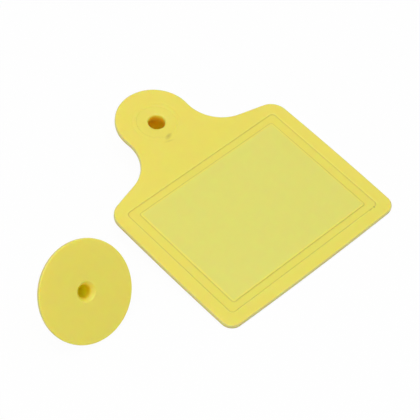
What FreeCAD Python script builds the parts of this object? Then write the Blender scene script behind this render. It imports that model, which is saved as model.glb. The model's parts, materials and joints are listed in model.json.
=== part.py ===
"""A two-piece livestock ear tag, with its two halves lying apart on the ground.

The flag is one moulding: a framed panel, a necked round head, and a closed snap boss under the head.
The button is one moulding: a thin disc with a hollow, barbed stud, and a brass point set in its end.
Each half is modelled with its flat face at Z = 0 and its axis on Z, then laid down as it comes to rest.
"""
import FreeCAD, Part
import Sketcher
import math
import os

# Driving sizes, in millimetres and degrees: alias, value, meaning.
SIZES = (
    ("panel_width", 64.0, "width of the flag's panel at its corners"),
    ("panel_reach", 64.5, "stud hole's axis to the panel's free edge"),
    ("panel_thick", 1.35, "thickness of the panel and head"),
    ("side_bow", 0.2, "how far each side swells beyond its corners"),
    ("free_bow", 0.3, "how far the free edge swells beyond its corners"),
    ("head_radius", 11.5, "radius of the round head"),
    ("head_offset", 0.6, "stud hole's axis to the centre of the head"),
    ("neck_radius", 11.7, "radius of the hollow curve between head and shoulder"),
    ("shoulder_slope", 14.7, "slope of the shoulders"),
    ("shoulder_reach", 15.9, "stud hole's axis to where a shoulder would meet the side"),
    ("shoulder_round", 5.3, "corner radius between shoulder and side"),
    ("corner_round", 3.5, "corner radius at the free edge"),
    ("edge_break", 0.3, "broken edge along the flag's outline"),
    ("border_side", 4.0, "plain border outside the channel, at the sides"),
    ("border_free", 3.8, "plain border outside the channel, at the free edge"),
    ("channel_reach", 18.8, "stud hole's axis to the channel's near edge"),
    ("channel_side", 2.65, "width of the channel along the sides"),
    ("channel_end", 2.2, "width of the channel along the ends"),
    ("channel_depth", 0.2, "depth of the channel"),
    ("channel_round", 1.2, "corner radius outside the channel"),
    ("field_round", 0.6, "corner radius of the field inside the channel"),
    ("pad_radius", 5.85, "radius of the sunk pad round the stud hole"),
    ("pad_depth", 0.12, "depth of the sunk pad"),
    ("entry_radius", 2.45, "radius of the stud hole"),
    ("entry_depth", 3.0, "depth of the stud hole down to its locking ledge"),
    ("lip_round", 0.4, "rounding of the stud hole's mouth"),
    ("boss_radius", 7.05, "radius of the snap boss at its root"),
    ("boss_end_radius", 5.4, "radius of the snap boss at its closed end"),
    ("boss_fillet", 1.0, "fillet round the root of the snap boss"),
    ("boss_end_break", 0.5, "broken edge round the boss's closed end"),
    ("cap_thick", 0.85, "thickness of the boss's closed end"),
    ("button_radius", 14.0, "radius of the button's disc"),
    ("button_thick", 2.0, "thickness of the disc at the stud"),
    ("rim_thick", 1.15, "thickness of the disc at its rim"),
    ("rim_break", 0.3, "broken edge round the disc's rim"),
    ("ear_gap", 10.9, "room for the ear between the two halves when closed"),
    ("stem_play", 0.12, "radial play of the stem in the stud hole"),
    ("stem_fillet", 1.2, "fillet round the root of the stem"),
    ("barb_radius", 3.1, "radius of the barb's shoulder"),
    ("barb_length", 2.4, "length of the barb's cone"),
    ("barb_break", 0.2, "broken edge of the barb's shoulder"),
    ("barb_room", 0.5, "radial room round the barb inside the boss"),
    ("barb_play", 0.1, "axial play of the barb inside the boss"),
    ("funnel_radius", 2.8, "radius of the applicator hole's mouth"),
    ("funnel_depth", 1.2, "depth of the funnel at the mouth"),
    ("bore_radius", 1.78, "radius of the applicator hole"),
    ("bore_floor", 3.0, "moulding left between the applicator hole and the point's base"),
    ("point_radius", 1.5, "radius of the brass point at its base"),
    ("point_length", 2.5, "length of the brass point beyond the barb"),
    ("point_blunt", 0.25, "radius of the point's blunt end"),
    ("shank_radius", 0.7, "radius of the point's shank"),
    ("shank_length", 1.6, "length of the point's shank, with its collar"),
    ("collar_radius", 1.1, "radius of the collar that holds the shank"),
    ("collar_length", 0.6, "length of that collar"),
    ("halves_gap", 10.0, "clear gap between the panel's side and the button's rim"),
    ("button_setback", 34.9, "stud hole's axis to the button's centre, along the flag"),
)

# Lengths worked out from the driving sizes, as expressions that the sketches share.
SIDE = "Sizes.panel_width / 2"
SHOULDER_PEAK = "Sizes.shoulder_reach - Sizes.panel_width / 2 * tan(Sizes.shoulder_slope * 1 deg)"
CHANNEL_SIDE = "(Sizes.panel_width / 2 - Sizes.border_side)"
CHANNEL_FREE = "(Sizes.panel_reach - Sizes.border_free)"
CHAMBER_RADIUS = "Sizes.barb_radius + Sizes.barb_room"
CHAMBER_END = "(Sizes.entry_depth + Sizes.barb_play + Sizes.barb_length + Sizes.point_length)"
BOSS_END = f"({CHAMBER_END} + Sizes.cap_thick)"
STEM_RADIUS = "Sizes.entry_radius - Sizes.stem_play"
SHOULDER_Z = "(Sizes.button_thick + Sizes.ear_gap + Sizes.entry_depth)"
POINT_BASE = f"({SHOULDER_Z} + Sizes.barb_length)"
POINT_END = f"({POINT_BASE} + Sizes.point_length)"
SHANK_TOP = f"({POINT_BASE} - Sizes.shank_length)"
WALL_SHARE = 0.4
EDGE_BREAK = f"min(Sizes.edge_break; {WALL_SHARE} * Sizes.panel_thick)"
RIM_BREAK = f"min(Sizes.rim_break; {WALL_SHARE} * Sizes.rim_thick)"
TOLERANCE = 1e-4

doc = FreeCAD.newDocument("EarTag")


def add_sizes():
    """The spreadsheet that drives the model: name, value and meaning on each row."""
    sheet = doc.addObject("Spreadsheet::Sheet", "Sizes")
    for row, (alias, value, meaning) in enumerate(SIZES, start=1):
        sheet.set(f"A{row}", alias)
        sheet.set(f"B{row}", str(value))
        sheet.setAlias(f"B{row}", alias)
        sheet.set(f"C{row}", meaning)
    doc.recompute()
    return sheet


sizes = add_sizes()


def length(expression):
    """An expression's present value, as a plain number."""
    value = sizes.evalExpression(str(expression))
    return float(getattr(value, "Value", value))


def add_body(label):
    """An empty body with its own plain name."""
    body = doc.addObject("PartDesign::Body", label)
    body.Label = label
    return body


def add_sketch(body, name, role):
    """A sketch on one of the body's origin planes, found by its role."""
    sketch = body.newObject("Sketcher::SketchObject", name)
    plane = next(item for item in body.Origin.OriginFeatures if item.Role == role)
    sketch.AttachmentSupport = [(plane, "")]
    sketch.MapMode = "FlatFace"
    return sketch


def place_vertex(sketch, element, place, vertex=1):
    """Hold a vertex at a place given as two expressions; zero puts it on the axis."""
    axes = ((-2, "DistanceX"), (-1, "DistanceY"))
    for expression, (axis, kind) in zip(place, axes):
        if expression == 0:
            sketch.addConstraint(Sketcher.Constraint("PointOnObject", element, vertex, axis))
            continue
        datum = Sketcher.Constraint(kind, -1, 1, element, vertex, length(expression))
        index = sketch.addConstraint(datum)
        sketch.setExpression(f"Constraints[{index}]", expression)


def draw_polygon(sketch, places, bows=None):
    """A closed polygon whose corners are bound to expressions; the sides named in bows swell outwards."""
    corners = [FreeCAD.Vector(length(x), length(y), 0) for x, y in places]
    bows = bows or {}
    sides = []
    for number, (start, end) in enumerate(zip(corners, corners[1:] + corners[:1])):
        side = Part.LineSegment(start, end)
        if number in bows:
            along = end - start
            outward = FreeCAD.Vector(along.y, -along.x, 0).normalize()
            side = Part.Arc(start, (start + end) / 2 + outward * length(bows[number][0]), end)
        sides.append(sketch.addGeometry(side, False))
    for side, follower in zip(sides, sides[1:] + sides[:1]):
        sketch.addConstraint(Sketcher.Constraint("Coincident", side, 2, follower, 1))
    for side, place in zip(sides, places):
        place_vertex(sketch, side, place)
    for number, (bow, chord) in bows.items():
        radius = f"(({chord}) ^ 2 / (8 * {bow}) + {bow} / 2)"
        bound = sketch.addConstraint(Sketcher.Constraint("Radius", sides[number], length(radius)))
        sketch.setExpression(f"Constraints[{bound}]", radius)


def draw_circle(sketch, radius, y=0):
    """A circle on the flag's centre line with a bound radius."""
    circle = Part.Circle(FreeCAD.Vector(0, length(y), 0), FreeCAD.Vector(0, 0, 1), length(radius))
    index = sketch.addGeometry(circle, False)
    place_vertex(sketch, index, (0, y), 3)
    bound = sketch.addConstraint(Sketcher.Constraint("Radius", index, length(radius)))
    sketch.setExpression(f"Constraints[{bound}]", radius)


def check_volume(feature, base, grows):
    """Stop when a feature hasn't changed the solid the way it should."""
    doc.recompute()
    change = feature.Shape.Volume - (base.Shape.Volume if base else 0.0)
    if (change > 0) != grows or abs(change) < TOLERANCE:
        raise RuntimeError(f"{feature.Name} changes nothing, or cuts the wrong way")
    return feature


def add_pad(body, sketch, depth):
    """Pad a sketch downwards."""
    base = body.Tip
    pad = body.newObject("PartDesign::Pad", f"{sketch.Name}Pad")
    pad.Profile = sketch
    pad.Reversed = True
    pad.setExpression("Length", depth)
    return check_volume(pad, base, True)


def add_pocket(body, sketch, depth):
    """Sink a sketch into the face below it."""
    base = body.Tip
    pocket = body.newObject("PartDesign::Pocket", f"{sketch.Name}Pocket")
    pocket.Profile = sketch
    pocket.setExpression("Length", depth)
    return check_volume(pocket, base, False)


def add_turned(body, name, places, cuts):
    """Turn a profile, given in radius and height, round the body's axis."""
    sketch = add_sketch(body, name, "XZ_Plane")
    draw_polygon(sketch, places)
    base = body.Tip
    kind = "PartDesign::Groove" if cuts else "PartDesign::Revolution"
    turned = body.newObject(kind, f"{name}Turned")
    turned.Profile = sketch
    turned.ReferenceAxis = (sketch, ["V_Axis"])
    turned.Angle = 360
    return check_volume(turned, base, not cuts)


def edge_names(shape, wanted):
    """Names of the edges that pass a test."""
    return [f"Edge{index}" for index, edge in enumerate(shape.Edges, start=1) if wanted(edge)]


def add_edge_feature(body, name, kind, size, wanted):
    """Dress the edges of the body's tip that pass a test, with a Fillet or a Chamfer."""
    base = body.Tip
    names = edge_names(base.Shape, wanted)
    if not names:
        raise RuntimeError(f"{name} finds no edge")
    feature = body.newObject(f"PartDesign::{kind}", name)
    feature.Base = (base, names)
    feature.setExpression("Radius" if kind == "Fillet" else "Size", size)
    doc.recompute()


def add_fillet(body, name, radius, wanted):
    add_edge_feature(body, name, "Fillet", radius, wanted)


def add_chamfer(body, name, size, wanted):
    add_edge_feature(body, name, "Chamfer", size, wanted)


def is_near(first, second):
    return abs(first - second) < TOLERANCE


def upright_at(test):
    """A test for a straight upright edge whose place in plan passes another test."""
    def wanted(edge):
        if len(edge.Vertexes) != 2 or edge.Curve.TypeId != "Part::GeomLine":
            return False
        first, second = (vertex.Point for vertex in edge.Vertexes)
        upright = is_near(first.x, second.x) and is_near(first.y, second.y)
        return upright and test(first.x, first.y)
    return wanted


def upright_corner(x, y):
    """A test for the two upright edges at a place and at its mirror image across the flag."""
    reach_x, reach_y = length(x), length(y)
    return upright_at(lambda px, py: is_near(abs(px), reach_x) and is_near(py, reach_y))


def ring_at(radius, height):
    """A test for a circular edge round the body's axis."""
    target_radius, target_height = length(radius), length(height)

    def wanted(edge):
        if edge.Curve.TypeId != "Part::GeomCircle":
            return False
        centre = edge.Curve.Center
        on_axis = is_near(centre.x, 0) and is_near(centre.y, 0)
        sized = is_near(edge.Curve.Radius, target_radius)
        return on_axis and sized and is_near(centre.z, target_height)
    return wanted


def outline_at(shape, height):
    """A test for the edges of the outer wire of the largest level face at a height."""
    level = [face for face in shape.Faces if is_near(face.BoundBox.ZMin, height)
             and is_near(face.BoundBox.ZMax, height)]
    outline = max(level, key=lambda face: face.Area).OuterWire.Edges
    return lambda edge: any(edge.isSame(other) for other in outline)


def draw_box(sketch, half_width, near, far):
    """A rectangle across the flag's middle, between two reaches from the head's axis."""
    draw_polygon(sketch, (
        (f"-({half_width})", f"-({near})"),
        (f"-({half_width})", f"-({far})"),
        (half_width, f"-({far})"),
        (half_width, f"-({near})"),
    ))


def model_flag_outline(body):
    """The flat plate: round head, hollow neck curves, sloping shoulders and panel."""
    head = add_sketch(body, "Head", "XY_Plane")
    draw_circle(head, "Sizes.head_radius", "Sizes.head_offset")
    add_pad(body, head, "Sizes.panel_thick")
    panel = add_sketch(body, "Panel", "XY_Plane")
    side_length = "Sizes.panel_reach - Sizes.shoulder_reach"
    draw_polygon(panel, (
        (0, f"-({SHOULDER_PEAK})"),
        (f"-{SIDE}", "-Sizes.shoulder_reach"),
        (f"-{SIDE}", "-Sizes.panel_reach"),
        (SIDE, "-Sizes.panel_reach"),
        (SIDE, "-Sizes.shoulder_reach"),
    ), {
        1: ("Sizes.side_bow", side_length),
        2: ("Sizes.free_bow", "Sizes.panel_width"),
        3: ("Sizes.side_bow", side_length),
    })
    add_pad(body, panel, "Sizes.panel_thick")
    centre_y = length("Sizes.head_offset")
    head_radius = length("Sizes.head_radius")
    on_head = upright_at(lambda x, y: is_near(math.hypot(x, y - centre_y), head_radius))
    add_fillet(body, "Neck", "Sizes.neck_radius", on_head)
    add_fillet(body, "Shoulders", "Sizes.shoulder_round", upright_corner(SIDE, "-Sizes.shoulder_reach"))
    add_fillet(body, "FreeCorners", "Sizes.corner_round", upright_corner(SIDE, "-Sizes.panel_reach"))
    add_chamfer(body, "TopEdges", EDGE_BREAK, outline_at(body.Tip.Shape, 0))
    underside = outline_at(body.Tip.Shape, length("-Sizes.panel_thick"))
    add_chamfer(body, "UnderEdges", EDGE_BREAK, underside)


def model_flag_boss(body):
    """The closed snap boss, its stud hole and the chamber that the barb locks into."""
    add_turned(body, "Boss", (
        (0, f"-Sizes.panel_thick * {WALL_SHARE}"),
        ("Sizes.boss_radius", f"-Sizes.panel_thick * {WALL_SHARE}"),
        ("Sizes.boss_radius", "-Sizes.panel_thick"),
        ("Sizes.boss_end_radius", f"-{BOSS_END}"),
        (0, f"-{BOSS_END}"),
    ), False)
    add_fillet(body, "BossRoot", "Sizes.boss_fillet", ring_at("Sizes.boss_radius", "-Sizes.panel_thick"))
    add_chamfer(body, "BossEnd", "Sizes.boss_end_break", ring_at("Sizes.boss_end_radius", f"-{BOSS_END}"))
    pad = add_sketch(body, "SunkPad", "XY_Plane")
    draw_circle(pad, "Sizes.pad_radius")
    add_pocket(body, pad, "Sizes.pad_depth")
    add_turned(body, "StudHole", (
        (0, 0),
        ("Sizes.entry_radius", 0),
        ("Sizes.entry_radius", "-Sizes.entry_depth"),
        (CHAMBER_RADIUS, "-Sizes.entry_depth"),
        (CHAMBER_RADIUS, "-(Sizes.entry_depth + Sizes.barb_play + Sizes.barb_break)"),
        ("Sizes.point_radius + Sizes.barb_room", f"-{CHAMBER_END}"),
        (0, f"-{CHAMBER_END}"),
    ), True)
    add_fillet(body, "HoleLip", "Sizes.lip_round", ring_at("Sizes.entry_radius", "-Sizes.pad_depth"))


def model_flag_channel(body):
    """The shallow channel that frames the panel's plain field."""
    channel = add_sketch(body, "Channel", "XY_Plane")
    draw_box(channel, CHANNEL_SIDE, "Sizes.channel_reach", CHANNEL_FREE)
    field_side = f"{CHANNEL_SIDE} - Sizes.channel_side"
    field_near = "Sizes.channel_reach + Sizes.channel_end"
    field_free = f"{CHANNEL_FREE} - Sizes.channel_end"
    draw_box(channel, field_side, field_near, field_free)
    add_pocket(body, channel, "Sizes.channel_depth")
    for name, radius, side, reaches in (
        ("ChannelCorners", "Sizes.channel_round", CHANNEL_SIDE, ("Sizes.channel_reach", CHANNEL_FREE)),
        ("FieldCorners", "Sizes.field_round", field_side, (field_near, field_free)),
    ):
        for end, reach in zip(("Near", "Free"), reaches):
            add_fillet(body, f"{name}{end}", radius, upright_corner(side, f"-({reach})"))


def model_flag():
    """The flag half, in one moulding."""
    body = add_body("flag")
    model_flag_outline(body)
    model_flag_boss(body)
    model_flag_channel(body)
    return body


def model_button():
    """The button half: disc, hollow stud and barb in one moulding, with a seat for the brass point."""
    body = add_body("button")
    add_turned(body, "DiscAndStud", (
        (0, 0),
        ("Sizes.button_radius", 0),
        ("Sizes.button_radius", "-Sizes.rim_thick"),
        (STEM_RADIUS, "-Sizes.button_thick"),
        (STEM_RADIUS, f"-{SHOULDER_Z}"),
        ("Sizes.barb_radius", f"-{SHOULDER_Z}"),
        ("Sizes.point_radius", f"-{POINT_BASE}"),
        (0, f"-{POINT_BASE}"),
    ), False)
    add_chamfer(body, "RimTop", RIM_BREAK, ring_at("Sizes.button_radius", 0))
    add_chamfer(body, "RimUnder", RIM_BREAK, ring_at("Sizes.button_radius", "-Sizes.rim_thick"))
    add_fillet(body, "StemRoot", "Sizes.stem_fillet", ring_at(STEM_RADIUS, "-Sizes.button_thick"))
    add_chamfer(body, "BarbShoulder", "Sizes.barb_break", ring_at("Sizes.barb_radius", f"-{SHOULDER_Z}"))
    add_turned(body, "ApplicatorHole", (
        (0, 0),
        ("Sizes.funnel_radius", 0),
        ("Sizes.bore_radius", "-Sizes.funnel_depth"),
        ("Sizes.bore_radius", f"-({POINT_BASE} - Sizes.bore_floor)"),
        (0, f"-({POINT_BASE} - Sizes.bore_floor)"),
    ), True)
    add_turned(body, "PointSeat", (
        (0, f"-{SHANK_TOP}"),
        ("Sizes.collar_radius", f"-{SHANK_TOP}"),
        ("Sizes.collar_radius", f"-({SHANK_TOP} + Sizes.collar_length)"),
        ("Sizes.shank_radius", f"-({SHANK_TOP} + Sizes.collar_length)"),
        ("Sizes.shank_radius", f"-{POINT_BASE}"),
        (0, f"-{POINT_BASE}"),
    ), True)
    return body


def model_stud_tip():
    """The brass point, with the collared shank that the button is moulded round."""
    body = add_body("stud_tip")
    add_turned(body, "Point", (
        (0, f"-{SHANK_TOP}"),
        ("Sizes.collar_radius", f"-{SHANK_TOP}"),
        ("Sizes.collar_radius", f"-({SHANK_TOP} + Sizes.collar_length)"),
        ("Sizes.shank_radius", f"-({SHANK_TOP} + Sizes.collar_length)"),
        ("Sizes.shank_radius", f"-{POINT_BASE}"),
        ("Sizes.point_radius", f"-{POINT_BASE}"),
        ("Sizes.point_blunt", f"-{POINT_END}"),
        (0, f"-{POINT_END}"),
    ), False)
    return body


def resting_pose(near_corners, far_corners):
    """Tilt about X and height of the axis's origin at which one corner of each group is on the ground.

    A corner is (y, z) in the piece's own section. The pair is the one that leaves no corner under ground.
    """
    corners = near_corners + far_corners
    for near in near_corners:
        for far in far_corners:
            tilt = math.atan2(near[1] - far[1], far[0] - near[0])
            heights = [y * math.sin(tilt) + z * math.cos(tilt) for y, z in corners]
            lift = -(near[0] * math.sin(tilt) + near[1] * math.cos(tilt))
            if lift + min(heights) > -TOLERANCE:
                return tilt, lift
    raise RuntimeError("no pair of corners carries the piece")


def lay_down(bodies, x, y, pose):
    """Tilt the bodies about X and set their common axis down at a place."""
    tilt, lift = pose
    turn = FreeCAD.Rotation(FreeCAD.Vector(1, 0, 0), math.degrees(tilt))
    for body in bodies:
        body.Placement = FreeCAD.Placement(FreeCAD.Vector(x, y, lift), turn)


def broken_corners(y, z, size):
    """The two corners that a broken edge leaves, on the near side of the section."""
    return [(y, z + size), (y + size, z)]


def lay_flag(flag):
    """The flag rests on its free edge and on the end of its boss."""
    free_y = length("-(Sizes.panel_reach + Sizes.free_bow)")
    free_edge = broken_corners(free_y, length("-Sizes.panel_thick"), length(EDGE_BREAK))
    boss_break = length("Sizes.boss_end_break")
    boss_end = broken_corners(length("-Sizes.boss_end_radius"), length(f"-{BOSS_END}"), boss_break)
    lay_down([flag], 0, 0, resting_pose(free_edge, boss_end))


def lay_button(button, stud_tip):
    """The button leans on its rim and its point, beside the flag and turned the same way."""
    rim = broken_corners(length("-Sizes.button_radius"), length("-Sizes.rim_thick"), length(RIM_BREAK))
    stud = [
        (length("-Sizes.point_blunt"), length(f"-{POINT_END}")),
        (length("-Sizes.point_radius"), length(f"-{POINT_BASE}")),
        (length("-Sizes.barb_radius"), length(f"-({SHOULDER_Z} + Sizes.barb_break)")),
    ]
    aside = length(f"{SIDE} + Sizes.side_bow + Sizes.halves_gap + Sizes.button_radius")
    lay_down([button, stud_tip], -aside, length("-Sizes.button_setback"), resting_pose(rim, stud))


def centre_on_ground(bodies):
    """Move everything together so that the origin is the middle of the whole at ground level."""
    doc.recompute()
    box = Part.makeCompound([body.Shape for body in bodies]).optimalBoundingBox(False)
    middle = FreeCAD.Vector(box.Center.x, box.Center.y, box.ZMin)
    for body in bodies:
        body.Placement = FreeCAD.Placement(body.Placement.Base - middle, body.Placement.Rotation)
    doc.recompute()


def check_model(bodies):
    """Stop on a failed feature, or on a shape that is empty or invalid."""
    for item in doc.Objects:
        if {"Invalid", "Error"} & set(item.State):
            raise RuntimeError(f"{item.Name} failed: {item.State}")
    for body in bodies:
        if body.Shape.isNull() or not body.Shape.isValid() or len(body.Shape.Solids) != 1:
            raise RuntimeError(f"{body.Label} isn't one valid solid")


def main():
    flag = model_flag()
    button = model_button()
    stud_tip = model_stud_tip()
    lay_flag(flag)
    lay_button(button, stud_tip)
    bodies = (flag, button, stud_tip)
    centre_on_ground(bodies)
    check_model(bodies)
    os.makedirs("parts", exist_ok=True)
    for body in bodies:
        body.Shape.exportStep(os.path.join("parts", f"{body.Label}.step"))


main()
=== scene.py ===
"""Livestock ear tag: the moulded flag, the button and its brass point, laid out beside each other.

The shapes are worked in each half's own frame, with Z out of its flat face and Y along the flag towards
its head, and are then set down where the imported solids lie.
"""

import json
import math

import bmesh
import bpy
from mathutils import Matrix, Vector


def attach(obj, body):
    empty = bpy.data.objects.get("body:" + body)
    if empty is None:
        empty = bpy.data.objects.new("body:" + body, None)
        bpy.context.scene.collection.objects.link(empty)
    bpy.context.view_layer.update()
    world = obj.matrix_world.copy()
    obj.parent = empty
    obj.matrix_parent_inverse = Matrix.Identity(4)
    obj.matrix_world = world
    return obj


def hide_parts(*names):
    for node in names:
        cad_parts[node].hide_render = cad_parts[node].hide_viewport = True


bl_info = {
    "name": "Livestock ear tag",
    "version": (1, 0, 0),
    "blender": (4, 5, 0),
    "location": "View3D > Sidebar > Ear tag",
    "description": "Builds a two-piece livestock ear tag round its packed solids",
    "category": "Object",
}

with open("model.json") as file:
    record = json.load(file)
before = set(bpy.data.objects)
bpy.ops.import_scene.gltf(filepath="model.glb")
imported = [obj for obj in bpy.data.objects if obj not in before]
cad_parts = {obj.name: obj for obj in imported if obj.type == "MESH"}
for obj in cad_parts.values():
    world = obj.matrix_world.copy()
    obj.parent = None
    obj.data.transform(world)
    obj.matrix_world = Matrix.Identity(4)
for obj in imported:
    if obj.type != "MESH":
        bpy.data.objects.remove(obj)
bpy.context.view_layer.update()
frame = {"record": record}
MOUNTS = {mount["name"]: mount for mount in frame["record"]["mounts"]}
MM = 0.001
MERGE = 1e-7
ROUND_STEPS = 160
SHARP_ANGLE = math.radians(40)

# Dirt on the flag: centre x and y, reach along and across in mm, turn, and strength.
DIRT_SPOTS = (
    (-0.94, -6.07, 1.7, 0.9, 0.3, 0.5),
    (-1.96, -7.43, 2.0, 0.45, -0.3, 0.22),
    (26.61, -60.78, 0.55, 0.3, 1.0, 0.9),
    (25.19, -60.81, 0.9, 0.3, 0.2, 0.5),
)
# The faint sink ring round the pad: distance beyond the pad's edge and height, in mm.
SINK_RING = ((2.2, 0.0), (1.6, 0.0), (1.15, -0.035), (0.7, 0.0), (0.15, 0.0))
# Tangent lengths of the rounded corners, in mm, by their place in each turned profile.
HOLE_ROUNDINGS = {1: 0.25, 2: 0.3, 3: 0.2, 4: 0.06, 5: 0.06, 6: 0.5, 7: 0.08, 8: 0.1, 9: 0.5}
BOSS_ROUNDINGS = {1: 1.1, 2: 0.6}
BUTTON_ROUNDINGS = {1: 0.4, 2: 0.25, 3: 0.12, 4: 0.35, 5: 0.35, 7: 1.1, 8: 0.15, 9: 0.2, 10: 0.1}
POINT_ROUNDINGS = {6: 0.12}

AIM = Vector((12.719, -2.651, 0)) * MM
LAMP_PLACE = Vector((-0.15, -0.1, 0.9))
FLOOR_HALF_WIDTH = 1.5
FLOOR_GLOW_SHARE = 0.96


# ---------------------------------------------------------------- sizes and colours


def size(name, millimetres, description):
    """A length property with its default given in millimetres."""
    return bpy.props.FloatProperty(
        name=name,
        description=description,
        default=millimetres * MM,
        min=0.0,
        precision=5,
        unit="LENGTH",
        subtype="DISTANCE",
    )


def linear(hex_colour):
    """Linear RGB of an sRGB hex colour."""
    channels = [int(hex_colour[at:at + 2], 16) / 255 for at in (0, 2, 4)]
    return tuple(c / 12.92 if c <= 0.04045 else ((c + 0.055) / 1.055) ** 2.4 for c in channels)


def colour(name, hex_colour, description):
    """A colour property with its default given as an sRGB hex value."""
    return bpy.props.FloatVectorProperty(
        name=name,
        description=description,
        default=linear(hex_colour),
        min=0.0,
        max=1.0,
        size=3,
        subtype="COLOR",
    )


class FlagSizes(bpy.types.PropertyGroup):
    panel_width: size("Panel width", 64.0, "Width of the panel at its corners")
    panel_reach: size("Panel reach", 64.5, "Stud hole's axis to the panel's free edge")
    panel_thick: size("Thickness", 1.35, "Thickness of the panel and head")
    side_bow: size("Side bow", 0.2, "How far each side swells")
    free_bow: size("Free edge bow", 0.3, "How far the free edge swells")
    head_radius: size("Head radius", 11.5, "Radius of the round head")
    head_offset: size("Head offset", 0.6, "Stud hole's axis to the centre of the head")
    neck_radius: size("Neck radius", 11.7, "Radius of the hollow neck curves")
    shoulder_reach: size("Shoulder reach", 15.9, "Stud hole's axis to where a shoulder meets the side")
    shoulder_round: size("Shoulder radius", 5.3, "Corner radius between shoulder and side")
    corner_round: size("Corner radius", 3.5, "Corner radius at the free edge")
    edge_round: size("Edge rounding", 0.35, "Rounding along the outline")
    border_side: size("Side border", 4.0, "Plain border at the sides")
    border_free: size("Free border", 3.8, "Plain border at the free edge")
    channel_reach: size("Channel reach", 18.8, "Stud hole's axis to the channel's near edge")
    channel_side: size("Channel width, sides", 2.65, "Width of the channel along the sides")
    channel_end: size("Channel width, ends", 2.2, "Width of the channel along the ends")
    channel_depth: size("Channel depth", 0.2, "Depth of the channel")
    channel_round: size("Channel corner", 1.2, "Corner radius outside the channel")
    field_round: size("Field corner", 0.75, "Corner radius of the field inside the channel")
    pad_radius: size("Pad radius", 5.7, "Radius of the sunk pad round the stud hole")
    pad_depth: size("Pad depth", 0.12, "Depth of the sunk pad")
    mount_depth: size("Mount depth", 0.52, "Depth of the pad and the hole's lip, where its mount starts")
    hole_radius: size("Hole radius", 2.45, "Radius of the stud hole")
    hole_depth: size("Hole depth", 3.0, "Depth of the stud hole down to its ledge")
    chamber_radius: size("Chamber radius", 3.6, "Radius of the chamber for the barb")
    chamber_depth: size("Chamber depth", 8.0, "Depth of the chamber's floor")
    boss_radius: size("Boss radius", 7.05, "Radius of the snap boss at its root")
    boss_end_radius: size("Boss end radius", 5.4, "Radius of the snap boss at its end")
    boss_depth: size("Boss depth", 8.85, "Depth of the boss's closed end")
    shoulder_slope: bpy.props.FloatProperty(
        name="Shoulder slope",
        description="Slope of the shoulders",
        default=math.radians(14.7),
        unit="ROTATION",
        subtype="ANGLE",
    )


class ButtonSizes(bpy.types.PropertyGroup):
    disc_radius: size("Disc radius", 14.0, "Radius of the button's disc")
    disc_thick: size("Disc thickness", 2.0, "Thickness of the disc at the stud")
    rim_thick: size("Rim thickness", 1.15, "Thickness of the disc at its rim")
    funnel_radius: size("Funnel radius", 2.8, "Radius of the applicator hole's mouth")
    funnel_depth: size("Funnel depth", 1.2, "Depth of the funnel")
    bore_radius: size("Bore radius", 1.78, "Radius of the applicator hole")
    bore_depth: size("Bore depth", 15.3, "Depth of the applicator hole's floor")
    stem_radius: size("Stem radius", 2.33, "Radius of the stem")
    shoulder_depth: size("Barb shoulder", 15.9, "Depth of the barb's shoulder")
    barb_radius: size("Barb radius", 3.1, "Radius of the barb's shoulder")
    point_base: size("Point base", 18.3, "Depth of the brass point's base")
    point_radius: size("Point radius", 1.5, "Radius of the brass point at its base")
    point_end: size("Point end", 20.8, "Depth of the brass point's end")
    point_blunt: size("Point bluntness", 0.25, "Radius of the point's blunt end")
    shank_radius: size("Shank radius", 0.7, "Radius of the point's shank")
    shank_length: size("Shank length", 1.6, "Length of the shank with its collar")
    collar_radius: size("Collar radius", 1.1, "Radius of the collar on the shank")
    collar_length: size("Collar length", 0.6, "Length of the collar")


class Finishes(bpy.types.PropertyGroup):
    plastic: colour("Plastic", "E5DB60", "Yellow pigment of the moulding")
    button: colour("Button plastic", "DFDC5E", "Yellow pigment of the button's batch")
    drift: colour("Pigment drift", "E8DA5C", "The warmest that the pigment drifts to")
    field: colour("Field", "DFDA6C", "Matt printing field inside the channel")
    # Crest: a painted highlight along the channel's upper edges.
    crest_highlight: colour("Crest", "E9E06A", "Thin, worn edges along the channel")
    # Crease: painted shade in the channel's bottom corners.
    crease_shade: colour("Crease", "D2C656", "Grime caught in the channel's corners")
    # Rim: painted shade along the edges and sides.
    rim: colour("Rim", "D0CA7C", "Handled edges and sides")
    # Painted light down the holes: orange for light that has passed through the plastic more than once,
    # deepest at a hole's bottom.
    painted_hole_light: colour("Down a hole", "F8C420", "What the plastic turns to down a hole")
    painted_chamber_light: colour("Hole bottom", "FFD018", "What it turns to in the flag's chamber")
    painted_bore_light: colour("Bore bottom", "FFE020", "What it turns to down the button's bore")
    dirt: colour("Dirt", "8C7F2E", "Handling dirt")
    brass: colour("Brass", "C9A45A", "Turned brass")


class StageLook(bpy.types.PropertyGroup):
    floor: colour("Floor", "FFFFFF", "Floor and backdrop")
    lens: bpy.props.FloatProperty(name="Lens", description="Focal length in mm", default=151.35, min=1.0)
    azimuth: bpy.props.FloatProperty(
        name="Azimuth",
        description="Camera's heading, clockwise from +Y",
        default=math.radians(43.376),
        unit="ROTATION",
        subtype="ANGLE",
    )
    elevation: bpy.props.FloatProperty(
        name="Elevation",
        description="Camera's height above the ground, as an angle",
        default=math.radians(48.707),
        unit="ROTATION",
        subtype="ANGLE",
    )
    distance: size("Distance", 491.94, "Camera to the point that it looks at")
    lamp_width: size("Lamp width", 700, "Width of the overhead lamp")
    lamp_power: bpy.props.FloatProperty(name="Lamp power", description="Power in watts", default=4.9, min=0.0)


# ---------------------------------------------------------------- materials


def add_node(tree, kind, settings=None, links=None):
    """Add a node, set its properties and unlinked inputs, and link its other inputs."""
    node = tree.nodes.new(kind)
    for name, value in (settings or {}).items():
        if isinstance(name, str) and hasattr(node, name):
            setattr(node, name, value)
        else:
            node.inputs[name].default_value = value
    for name, output in (links or {}).items():
        tree.links.new(output, node.inputs[name])
    return node


def new_material(name):
    """An empty node material and its tree."""
    material = bpy.data.materials.new(name)
    material.use_nodes = True
    material.node_tree.nodes.clear()
    return material, material.node_tree


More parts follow.
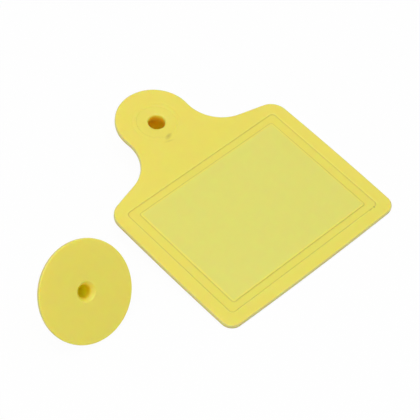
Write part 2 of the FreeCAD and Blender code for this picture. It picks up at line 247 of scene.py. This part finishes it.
def local_coordinates(tree, place):
    """Object coordinates turned into a piece's own frame, in millimetres."""
    coordinates = add_node(tree, "ShaderNodeTexCoord")
    back = place.inverted()
    turn = add_node(tree, "ShaderNodeMapping", {
        "vector_type": "POINT",
        "Location": back.to_translation() / MM,
        "Rotation": back.to_euler(),
        "Scale": (1 / MM, 1 / MM, 1 / MM),
    }, {"Vector": coordinates.outputs["Object"]})
    return turn.outputs["Vector"]


def make_plastic(name, look, pigment, bottom, place, spots):
    """Injection-moulded flexible polyurethane: a soft satin yellow that lets a little light into it.

    The pigment is even. Down a hole an orange is painted in, a painted light for light that has been
    through the plastic more than once.
    """
    material, tree = new_material(name)
    vector = local_coordinates(tree, place)
    depth = add_node(tree, "ShaderNodeSeparateXYZ", links={"Vector": vector}).outputs["Z"]
    inside = add_node(tree, "ShaderNodeAttribute", {"attribute_name": "inside"}).outputs["Fac"]

    # Slow drift of the pigment, some 20 mm across.
    drift = add_node(tree, "ShaderNodeTexNoise", {"Scale": 0.05, "Detail": 2.0}, {"Vector": vector})
    tints = []
    # The field tone is the printing field's own colour. The crest tone is a painted highlight, and the crease
    # and rim tones are painted shade.
    for mark_name, tone in (
        ("field", look.field), ("crest_highlight", look.crest_highlight), ("crease_shade", look.crease_shade), ("rim", look.rim),
    ):
        marked = add_node(tree, "ShaderNodeAttribute", {"attribute_name": mark_name})
        tints.append((tone, marked.outputs["Fac"]))
    # Painted light down a hole, turning deeper orange further down. Here bottom is the painted light at the
    # hole's bottom.
    for start, end, tone in ((-0.1, -1.6, look.painted_hole_light), (-2.4, -3.4, bottom)):
        sunk = add_node(tree, "ShaderNodeMapRange", {1: start, 2: end}, {0: depth})
        amount = add_node(tree, "ShaderNodeMath", {"operation": "MULTIPLY"}, {0: inside, 1: sunk.outputs[0]})
        tints.append((tone, amount.outputs[0]))
    for x, y, along, across, turn, strength in spots:
        tints.append((look.dirt, dirt_oval(tree, vector, (x, y), (along, across), turn, strength)))

    pigments = {"data_type": "RGBA", 6: (*pigment, 1), 7: (*look.drift, 1)}
    base = add_node(tree, "ShaderNodeMix", pigments, {0: drift.outputs["Fac"]}).outputs[2]
    for tone, amount in tints:
        tinted = add_node(tree, "ShaderNodeMix", {"data_type": "RGBA", 7: (*tone, 1)}, {0: amount, 6: base})
        base = tinted.outputs[2]

    # Spark-eroded mould grain of about 0.15 mm, and the faint waviness of cooled plastic, about 4 mm.
    grain = add_node(tree, "ShaderNodeTexNoise", {"Scale": 6.0, "Detail": 2.0}, {"Vector": vector})
    waves = add_node(tree, "ShaderNodeTexNoise", {"Scale": 0.25, "Detail": 1.0}, {"Vector": vector})
    wavy = add_node(tree, "ShaderNodeBump", {"Strength": 0.25, "Distance": 0.02 * MM}, {
        "Height": waves.outputs["Fac"]})
    bump = add_node(tree, "ShaderNodeBump", {"Strength": 0.3, "Distance": 0.004 * MM}, {
        "Height": grain.outputs["Fac"], "Normal": wavy.outputs["Normal"]})
    rough = add_node(tree, "ShaderNodeMapRange", {1: 0.3, 2: 0.7, 3: 0.42, 4: 0.52}, {
        0: grain.outputs["Fac"]})
    # Light soaks further through the wall of a hole than along the open face.
    soak = add_node(tree, "ShaderNodeMapRange", {3: 2.0 * MM, 4: 12.0 * MM}, {0: inside})

    shader = add_node(tree, "ShaderNodeBsdfPrincipled", {
        "IOR": 1.5,
        "Subsurface Weight": 0.8,
        "Subsurface Radius": (1.0, 0.5, 0.08),
    }, {
        "Base Color": base,
        "Roughness": rough.outputs[0],
        "Subsurface Scale": soak.outputs[0],
        "Normal": bump.outputs["Normal"],
    })
    add_node(tree, "ShaderNodeOutputMaterial", links={"Surface": shader.outputs["BSDF"]})
    return material


def dirt_oval(tree, vector, centre, reach, turn, strength):
    """The amount of a soft oval of dirt on the flat face, its centre and reach in millimetres."""
    where = add_node(tree, "ShaderNodeMapping", {
        "vector_type": "TEXTURE",
        "Location": (centre[0], centre[1], 0.0),
        "Rotation": (0.0, 0.0, turn),
        "Scale": (reach[0], reach[1], 1.0),
    }, {"Vector": vector})
    oval = add_node(tree, "ShaderNodeTexGradient", {"gradient_type": "SPHERICAL"}, {
        "Vector": where.outputs["Vector"]})
    amount = add_node(tree, "ShaderNodeMath", {"operation": "MULTIPLY", 1: strength}, {
        0: oval.outputs["Fac"]})
    return amount.outputs[0]


def make_brass(look, place):
    """Turned brass: bright metal with fine rings from the lathe tool."""
    material, tree = new_material("turned_brass")
    vector = local_coordinates(tree, place)
    # Tool rings 0.12 mm apart along the axis.
    rings = add_node(tree, "ShaderNodeTexWave", {
        "bands_direction": "Z", "Scale": 8.3 / math.tau * 2, "Distortion": 0.4}, {"Vector": vector})
    bump = add_node(tree, "ShaderNodeBump", {"Strength": 0.2, "Distance": 0.005 * MM}, {
        "Height": rings.outputs["Fac"]})
    rough = add_node(tree, "ShaderNodeMapRange", {3: 0.24, 4: 0.38}, {0: rings.outputs["Fac"]})
    shader = add_node(tree, "ShaderNodeBsdfPrincipled", {
        "Base Color": (*look.brass, 1),
        "Metallic": 1.0,
    }, {"Roughness": rough.outputs[0], "Normal": bump.outputs["Normal"]})
    add_node(tree, "ShaderNodeOutputMaterial", links={"Surface": shader.outputs["BSDF"]})
    return material


# ---------------------------------------------------------------- mesh helpers


def place_of(mount_name, depth):
    """A half's own frame: Z out of its flat face, from a hole's mount that starts below that face."""
    mount = MOUNTS[mount_name]
    axis = Vector(mount["axis"])
    tilt = math.atan2(-axis.y, axis.z)
    return Matrix.Translation(Vector(mount["pos_m"]) + axis * depth) @ Matrix.Rotation(tilt, 4, "X")


def add_chain(bm, places):
    """Vertices joined one after another by edges."""
    verts = [bm.verts.new(place) for place in places]
    for start, end in zip(verts, verts[1:]):
        bm.edges.new((start, end))
    return verts


def sweep(bm, vert, centre, angle, steps):
    """Carry a vertex round a centre in the XY plane, leaving an arc of edges; returns its last vertex."""
    swept = bmesh.ops.spin(
        bm, geom=[vert], cent=centre, axis=(0, 0, 1), dvec=(0, 0, 0), angle=angle, steps=steps,
        use_merge=False, use_normal_flip=False, use_duplicate=False)
    return next(item for item in swept["geom_last"] if isinstance(item, bmesh.types.BMVert))


def turn_profile(bm, corners, roundings):
    """Turn a chain of (radius, height) corners about Z, with some of them rounded."""
    known = set(bm.edges)
    verts = add_chain(bm, [(radius, 0, height) for radius, height in corners])
    for number, reach in roundings.items():
        bmesh.ops.bevel(
            bm, geom=[verts[number]], offset=reach * MM, offset_type="OFFSET", segments=5, profile=0.5,
            affect="VERTICES", material=-1, clamp_overlap=False)
    chain = [edge for edge in bm.edges if edge not in known]
    profile = list({vert for edge in chain for vert in edge.verts})
    bmesh.ops.spin(
        bm, geom=profile + chain, cent=(0, 0, 0), axis=(0, 0, 1), dvec=(0, 0, 0), angle=math.tau,
        steps=ROUND_STEPS, use_merge=True, use_normal_flip=False, use_duplicate=False)


def ring_edges(bm, radius, height):
    """The edges of the circle about Z at a radius and height."""
    def on_ring(vert):
        flat = math.hypot(vert.co.x, vert.co.y)
        return abs(flat - radius) < 0.002 * MM and abs(vert.co.z - height) < 0.002 * MM
    return [edge for edge in bm.edges if on_ring(edge.verts[0]) and on_ring(edge.verts[1])]


def rounded_rectangle(bm, half_width, low, high, radius, height):
    """Edges of a rectangle with rounded corners, about the centre line."""
    known = set(bm.edges)
    chain = add_chain(bm, [
        (-half_width, low, height),
        (half_width, low, height),
        (half_width, high, height),
        (-half_width, high, height),
    ])
    bm.edges.new((chain[-1], chain[0]))
    bmesh.ops.bevel(
        bm, geom=chain, offset=radius, offset_type="OFFSET", segments=6, profile=0.5, affect="VERTICES",
        material=-1, clamp_overlap=False)
    return [edge for edge in bm.edges if edge not in known]


def corner_centre(loop, place):
    """Centre of the rounded corner that is nearest to a place on a rounded rectangle."""
    half_width, low, high, radius, height = loop
    upper = place.y > (low + high) / 2
    across = math.copysign(half_width - radius, place.x)
    return Vector((across, high - radius if upper else low + radius, height))


def fill(bm, edges):
    """Fill a flat region bounded by closed loops, with the inner ones left as holes."""
    bmesh.ops.triangle_fill(bm, use_beauty=True, use_dissolve=False, edges=edges)


def finish_piece(name, bm, place, material, node):
    """Close the mesh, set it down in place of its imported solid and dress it."""
    bmesh.ops.remove_doubles(bm, verts=bm.verts, dist=0.001 * MM)
    bmesh.ops.recalc_face_normals(bm, faces=bm.faces)
    bmesh.ops.transform(bm, matrix=place, verts=bm.verts)
    for face in bm.faces:
        face.smooth = True
    mesh = bpy.data.meshes.new(name)
    bm.to_mesh(mesh)
    bm.free()
    mesh.set_sharp_from_angle(angle=SHARP_ANGLE)
    mesh.materials.append(material)
    piece = bpy.data.objects.new(name, mesh)
    bpy.context.scene.collection.objects.link(piece)
    weigh = piece.modifiers.new("Even shading", "WEIGHTED_NORMAL")
    weigh.keep_sharp = True
    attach(piece, "root")
    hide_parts(node)
    return piece


def mark(bm, name, test, amount=1.0):
    """Give the vertices that pass a test an amount of a named mark, which the material reads."""
    layer = bm.verts.layers.float.get(name) or bm.verts.layers.float.new(name)
    for vert in bm.verts:
        if test(vert.co):
            vert[layer] = amount


# ---------------------------------------------------------------- the flag


def draw_outline(bm, s):
    """The flag's closed outline at height 0: half of it swept arc by arc, then mirrored."""
    side = s.panel_width / 2
    head = Vector((0, s.head_offset, 0))
    slope = s.shoulder_slope
    out_of_shoulder = Vector((math.sin(slope), math.cos(slope), 0))
    along_shoulder = Vector((math.cos(slope), -math.sin(slope), 0))
    corner = Vector((side, -s.shoulder_reach, 0))

    # The neck's centre is one neck radius off the shoulder and touches the head from outside.
    foot = corner + out_of_shoulder * s.neck_radius
    to_head = foot - head
    beside = to_head.dot(along_shoulder)
    reach = s.head_radius + s.neck_radius
    neck = foot + along_shoulder * (math.sqrt(beside ** 2 - to_head.length_squared + reach ** 2) - beside)
    head_turn = (neck - head).angle(Vector((0, 1, 0)))
    neck_turn = (head - neck).angle(-out_of_shoulder)

    vert = bm.verts.new(head + Vector((0, s.head_radius, 0)))
    vert = sweep(bm, vert, head, -head_turn, 48)
    vert = sweep(bm, vert, neck, neck_turn, 24)

    shoulder_turn = math.pi / 2 - slope
    tangent = s.shoulder_round * math.tan(shoulder_turn / 2)
    vert = run_to(bm, vert, corner - along_shoulder * tangent)
    centre = corner - along_shoulder * tangent - out_of_shoulder * s.shoulder_round
    vert = sweep(bm, vert, centre, -shoulder_turn, 16)

    side_end = Vector((side, -s.panel_reach + s.corner_round, 0))
    vert = bow_to(bm, vert, side_end, s.side_bow)
    vert = sweep(bm, vert, side_end - Vector((s.corner_round, 0, 0)), -math.pi / 2, 16)
    free = side - s.corner_round
    radius = (free ** 2 + s.free_bow ** 2) / (2 * s.free_bow)
    sweep(bm, vert, Vector((0, vert.co.y + radius - s.free_bow, 0)), -math.asin(free / radius), 12)
    bmesh.ops.mirror(bm, geom=list(bm.verts) + list(bm.edges), matrix=Matrix(), merge_dist=MERGE, axis="X")
    bmesh.ops.remove_doubles(bm, verts=bm.verts, dist=0.001 * MM)


def run_to(bm, vert, place):
    """A straight edge to a place; returns the vertex there."""
    end = bm.verts.new(place)
    bm.edges.new((vert, end))
    return end


def bow_to(bm, vert, place, bow):
    """A slightly swelling run down a side to a place."""
    half = (vert.co - place).length / 2
    radius = (half ** 2 + bow ** 2) / (2 * bow)
    middle = (vert.co + place) / 2
    return sweep(bm, vert, middle - Vector((radius - bow, 0, 0)), -2 * math.asin(half / radius), 24)


def round_rim(bm, face, radius, outward, steps=4):
    """Draw a flat face's rim in along a quarter round, towards its outer side."""
    for step in range(steps):
        start = step * math.pi / 2 / steps
        end = (step + 1) * math.pi / 2 / steps
        inset = radius * (math.cos(start) - math.cos(end))
        rise = radius * (math.sin(end) - math.sin(start))
        bmesh.ops.inset_region(
            bm, faces=[face], thickness=inset, depth=0, use_boundary=True, use_even_offset=True)
        bmesh.ops.translate(bm, verts=list(face.verts), vec=(0, 0, rise * outward))


def open_face(bm, face):
    """Take a face away and return the edges that bounded it."""
    edges = list(face.edges)
    bmesh.ops.delete(bm, geom=[face], context="FACES_ONLY")
    return edges


def model_channel(bm, s):
    """The sunk channel and the field inside it; returns the channel's outer edges."""
    crest_highlight = bm.verts.layers.float.new("crest_highlight")
    crease_shade = bm.verts.layers.float.new("crease_shade")
    field = bm.faces.layers.float.new("field")
    side = s.panel_width / 2 - s.border_side
    low = -(s.panel_reach - s.border_free)
    high = -s.channel_reach
    floor = -s.channel_depth / MM
    # One wall of the channel from its upper edge down: inset and height in mm, share of painted highlight
    # along the crest and of painted shade in the crease.
    wall = (
        (-0.62, 0.0, 0.0, 0.0),
        (-0.28, 0.0, 1.0, 0.0),
        (-0.18, -0.03, 0.8, 0.0),
        (-0.12, floor / 2, 0.0, 0.5),
        (-0.06, floor + 0.03, 0.0, 1.0),
        (0.02, floor, 0.0, 1.0),
        (0.24, floor, 0.0, 0.0),
    )
    rings = []
    for inset, height, light, dark in wall:
        step = inset * MM
        rings.append(((
            side - step, low + step, high - step, s.channel_round - step, height * MM), light, dark))
    for inset, height, light, dark in reversed(wall):
        step = inset * MM
        rings.append(((
            side - s.channel_side + step, low + s.channel_end - step, high - s.channel_end + step,
            s.field_round + step, height * MM), light, dark))
    first = rounded_rectangle(bm, *rings[0][0])
    edges = first
    for (outer, _, _), (inner, light, dark) in zip(rings, rings[1:]):
        drawn = bmesh.ops.extrude_edge_only(bm, edges=edges)["geom"]
        edges = [item for item in drawn if isinstance(item, bmesh.types.BMEdge) and len(item.link_faces) == 1]
        # Each ring carries its share of painted highlight along the crest and painted shade in the crease.
        for vert in {vert for edge in edges for vert in edge.verts}:
            outward = (vert.co - corner_centre(outer, vert.co)) / outer[3]
            vert.co = corner_centre(inner, vert.co) + outward * inner[3]
            vert[crest_highlight] = light
            vert[crease_shade] = dark
    known = set(bm.faces)
    fill(bm, edges)
    for face in bm.faces:
        if face not in known:
            face[field] = 1.0
    return first


def model_flag(s):
    """The whole flag as one closed skin, with the inside of its hole marked."""
    bm = bmesh.new()
    draw_outline(bm, s)
    top = bmesh.ops.contextual_create(bm, geom=list(bm.edges))["faces"][0]
    bmesh.ops.translate(bm, verts=list(top.verts), vec=(0, 0, -s.edge_round))
    pulled = bmesh.ops.extrude_face_region(bm, geom=[top], use_keep_orig=True)["geom"]
    bottom = next(item for item in pulled if isinstance(item, bmesh.types.BMFace))
    drop = s.panel_thick - 2 * s.edge_round
    bmesh.ops.translate(bm, verts=list(bottom.verts), vec=(0, 0, -drop))
    round_rim(bm, top, s.edge_round, 1)
    round_rim(bm, bottom, s.edge_round, -1)
    top_rim = open_face(bm, top)
    bottom_rim = open_face(bm, bottom)

    # Painted shade on the flag's rounded edges and sides.
    mark(bm, "rim", lambda co: -s.panel_thick + 0.02 * MM < co.z < -0.02 * MM)
    channel_rim = model_channel(bm, s)

    mouth = [(s.pad_radius + beyond * MM, height * MM) for beyond, height in SINK_RING]
    mouth += [
        (s.pad_radius, -s.pad_depth),
        (s.hole_radius, -s.pad_depth),
        (s.hole_radius, -s.hole_depth),
        (s.chamber_radius, -s.hole_depth),
        (s.chamber_radius, -s.chamber_depth),
        (0.0, -s.chamber_depth),
    ]
    turn_profile(bm, mouth, HOLE_ROUNDINGS)
    mark(bm, "inside", lambda co: (
        math.hypot(co.x, co.y) < s.chamber_radius + 0.1 * MM
        and -s.chamber_depth - 0.01 * MM < co.z < -s.pad_depth - 0.01 * MM))

    boss = [
        (s.boss_radius + 1.6 * MM, -s.panel_thick),
        (s.boss_radius, -s.panel_thick),
        (s.boss_end_radius, -s.boss_depth),
        (0.0, -s.boss_depth),
    ]
    turn_profile(bm, boss, BOSS_ROUNDINGS)
    fill(bm, top_rim + channel_rim + ring_edges(bm, mouth[0][0], 0.0))
    fill(bm, bottom_rim + ring_edges(bm, boss[0][0], -s.panel_thick))
    return bm


# ---------------------------------------------------------------- the button and its point


def model_button(s):
    """The disc, its funnelled bore and the hollow barbed stud, turned in one."""
    bm = bmesh.new()
    shank_top = s.point_base - s.shank_length
    turn_profile(bm, [
        (0.0, -s.bore_depth),
        (s.bore_radius, -s.bore_depth),
        (s.bore_radius, -s.funnel_depth),
        (s.funnel_radius, 0.0),
        (s.disc_radius, 0.0),
        (s.disc_radius, -s.rim_thick),
        (s.stem_radius + 1.2 * MM, -s.disc_thick),
        (s.stem_radius, -s.disc_thick - 0.1 * MM),
        (s.stem_radius, -s.shoulder_depth),
        (s.barb_radius, -s.shoulder_depth),
        (s.point_radius, -s.point_base),
        (s.shank_radius, -s.point_base),
        (s.shank_radius, -shank_top - s.collar_length),
        (s.collar_radius, -shank_top - s.collar_length),
        (s.collar_radius, -shank_top),
        (0.0, -shank_top),
    ], BUTTON_ROUNDINGS)
    mark(bm, "inside", lambda co: (
        math.hypot(co.x, co.y) < s.bore_radius + 0.8 * MM and -s.bore_depth - 0.01 * MM < co.z < -0.12 * MM))
    # Painted shade round the disc's edge.
    mark(bm, "rim", lambda co: math.hypot(co.x, co.y) > s.disc_radius - 0.02 * MM)
    return bm


def model_point(s):
    """The brass point with the shank and collar that hold it in the stud."""
    bm = bmesh.new()
    shank_top = s.point_base - s.shank_length
    turn_profile(bm, [
        (0.0, -shank_top),
        (s.collar_radius, -shank_top),
        (s.collar_radius, -shank_top - s.collar_length),
        (s.shank_radius, -shank_top - s.collar_length),
        (s.shank_radius, -s.point_base),
        (s.point_radius, -s.point_base),
        (s.point_blunt, -s.point_end),
        (0.0, -s.point_end),
    ], POINT_ROUNDINGS)
    return bm


# ---------------------------------------------------------------- operators


class EARTAG_OT_flag(bpy.types.Operator):
    """Build the flag: framed panel, neck, round head and snap boss in one moulding"""

    bl_idname = "eartag.flag"
    bl_label = "Flag"

    def execute(self, context):
        s = context.scene.eartag_flag
        look = context.scene.eartag_finishes
        place = place_of("stud_hole", s.mount_depth)
        plastic = make_plastic(
            "moulded_polyurethane_flag", look, look.plastic, look.painted_chamber_light, place, DIRT_SPOTS)
        finish_piece("flag_moulding", model_flag(s), place, plastic, "flag")
        return {"FINISHED"}


class EARTAG_OT_button(bpy.types.Operator):
    """Build the button: thin disc and hollow barbed stud in one moulding"""

    bl_idname = "eartag.button"
    bl_label = "Button"

    def execute(self, context):
        s = context.scene.eartag_button
        look = context.scene.eartag_finishes
        place = place_of("applicator_hole", s.funnel_depth)
        plastic = make_plastic(
            "moulded_polyurethane_button", look, look.button, look.painted_bore_light, place, ())
        finish_piece("button_moulding", model_button(s), place, plastic, "button")
        return {"FINISHED"}


class EARTAG_OT_stud_tip(bpy.types.Operator):
    """Build the turned brass point at the end of the stud"""

    bl_idname = "eartag.stud_tip"
    bl_label = "Stud tip"

    def execute(self, context):
        s = context.scene.eartag_button
        place = place_of("applicator_hole", s.funnel_depth)
        brass = make_brass(context.scene.eartag_finishes, place)
        finish_piece("stud_point", model_point(s), place, brass, "stud_tip")
        return {"FINISHED"}


class EARTAG_OT_stage(bpy.types.Operator):
    """Lay the white floor, hang the soft lamp and set up the camera"""

    bl_idname = "eartag.stage"
    bl_label = "Stage"

    def execute(self, context):
        s = context.scene.eartag_stage
        lay_floor(s)
        light_world(context.scene)
        hang_lamp(s)
        set_camera(context.scene, s)
        context.scene.view_settings.view_transform = "Standard"
        return {"FINISHED"}


# ---------------------------------------------------------------- the stage


def lay_floor(s):
    """A plain white floor that keeps only a faint shadow."""
    material, tree = new_material("white_floor")
    path = add_node(tree, "ShaderNodeLightPath")
    share = add_node(tree, "ShaderNodeMath", {"operation": "MULTIPLY", 1: FLOOR_GLOW_SHARE}, {
        0: path.outputs["Is Camera Ray"]})
    card = add_node(tree, "ShaderNodeBsdfDiffuse", {"Color": (*(0.8 * c for c in s.floor), 1)})
    glow = add_node(tree, "ShaderNodeEmission", {"Color": (*s.floor, 1), "Strength": 1.0})
    mixed = add_node(tree, "ShaderNodeMixShader", links={
        0: share.outputs[0], 1: card.outputs["BSDF"], 2: glow.outputs["Emission"]})
    add_node(tree, "ShaderNodeOutputMaterial", links={"Surface": mixed.outputs["Shader"]})
    bm = bmesh.new()
    bmesh.ops.create_grid(bm, x_segments=1, y_segments=1, size=FLOOR_HALF_WIDTH)
    mesh = bpy.data.meshes.new("floor")
    bm.to_mesh(mesh)
    bm.free()
    mesh.materials.append(material)
    floor = bpy.data.objects.new("floor", mesh)
    bpy.context.scene.collection.objects.link(floor)


def light_world(scene):
    """Even white surroundings, seen by the camera as pure white."""
    world = bpy.data.worlds.new("studio")
    world.use_nodes = True
    tree = world.node_tree
    tree.nodes.clear()
    path = add_node(tree, "ShaderNodeLightPath")
    strength = add_node(tree, "ShaderNodeMix", {"data_type": "FLOAT", 2: 0.55, 3: 1.0}, {
        0: path.outputs["Is Camera Ray"]})
    backdrop = add_node(tree, "ShaderNodeBackground", {"Color": (1, 1, 1, 1)}, {
        "Strength": strength.outputs[0]})
    add_node(tree, "ShaderNodeOutputWorld", links={"Surface": backdrop.outputs["Background"]})
    scene.world = world


def hang_lamp(s):
    """A wide soft lamp overhead."""
    light = bpy.data.lights.new("key_lamp", "AREA")
    light.size = s.lamp_width
    light.energy = s.lamp_power
    lamp = bpy.data.objects.new("key_lamp", light)
    lamp.location = LAMP_PLACE
    lamp.rotation_euler = LAMP_PLACE.to_track_quat("Z", "Y").to_euler()
    bpy.context.scene.collection.objects.link(lamp)


def set_camera(scene, s):
    """A long lens, held level, looking down past both halves."""
    heading = Vector((
        math.sin(s.azimuth) * math.cos(s.elevation),
        math.cos(s.azimuth) * math.cos(s.elevation),
        -math.sin(s.elevation)))
    camera_data = bpy.data.cameras.new("camera")
    camera_data.lens = s.lens
    camera_data.clip_start = 0.01
    camera = bpy.data.objects.new("camera", camera_data)
    camera.location = AIM - heading * s.distance
    camera.rotation_euler = heading.to_track_quat("-Z", "Y").to_euler()
    scene.collection.objects.link(camera)
    scene.camera = camera


# ---------------------------------------------------------------- add-on


class EARTAG_PT_parts(bpy.types.Panel):
    """Sizes and colours of the ear tag, and the buttons that build it"""

    bl_idname = "EARTAG_PT_parts"
    bl_label = "Ear tag"
    bl_space_type = "VIEW_3D"
    bl_region_type = "UI"
    bl_category = "Ear tag"

    def draw(self, context):
        layout = self.layout
        for operator, group in PARTS:
            box = layout.box()
            box.operator(operator.bl_idname)
            if group is None:
                continue
            settings = getattr(context.scene, group)
            for name in settings.__annotations__:
                box.prop(settings, name)


PARTS = (
    (EARTAG_OT_flag, "eartag_flag"),
    (EARTAG_OT_button, "eartag_button"),
    (EARTAG_OT_stud_tip, "eartag_finishes"),
    (EARTAG_OT_stage, "eartag_stage"),
)
GROUPS = {
    "eartag_flag": FlagSizes,
    "eartag_button": ButtonSizes,
    "eartag_finishes": Finishes,
    "eartag_stage": StageLook,
}


def register():
    for name, group in GROUPS.items():
        bpy.utils.register_class(group)
        setattr(bpy.types.Scene, name, bpy.props.PointerProperty(type=group))
    for operator, _ in PARTS:
        bpy.utils.register_class(operator)
    bpy.utils.register_class(EARTAG_PT_parts)


def unregister():
    bpy.utils.unregister_class(EARTAG_PT_parts)
    for operator, _ in reversed(PARTS):
        bpy.utils.unregister_class(operator)
    for name, group in reversed(GROUPS.items()):
        delattr(bpy.types.Scene, name)
        bpy.utils.unregister_class(group)


def main():
    register()
    bpy.ops.eartag.flag()
    bpy.ops.eartag.button()
    bpy.ops.eartag.stud_tip()
    bpy.ops.eartag.stage()


if __name__ == "__main__":
    main()
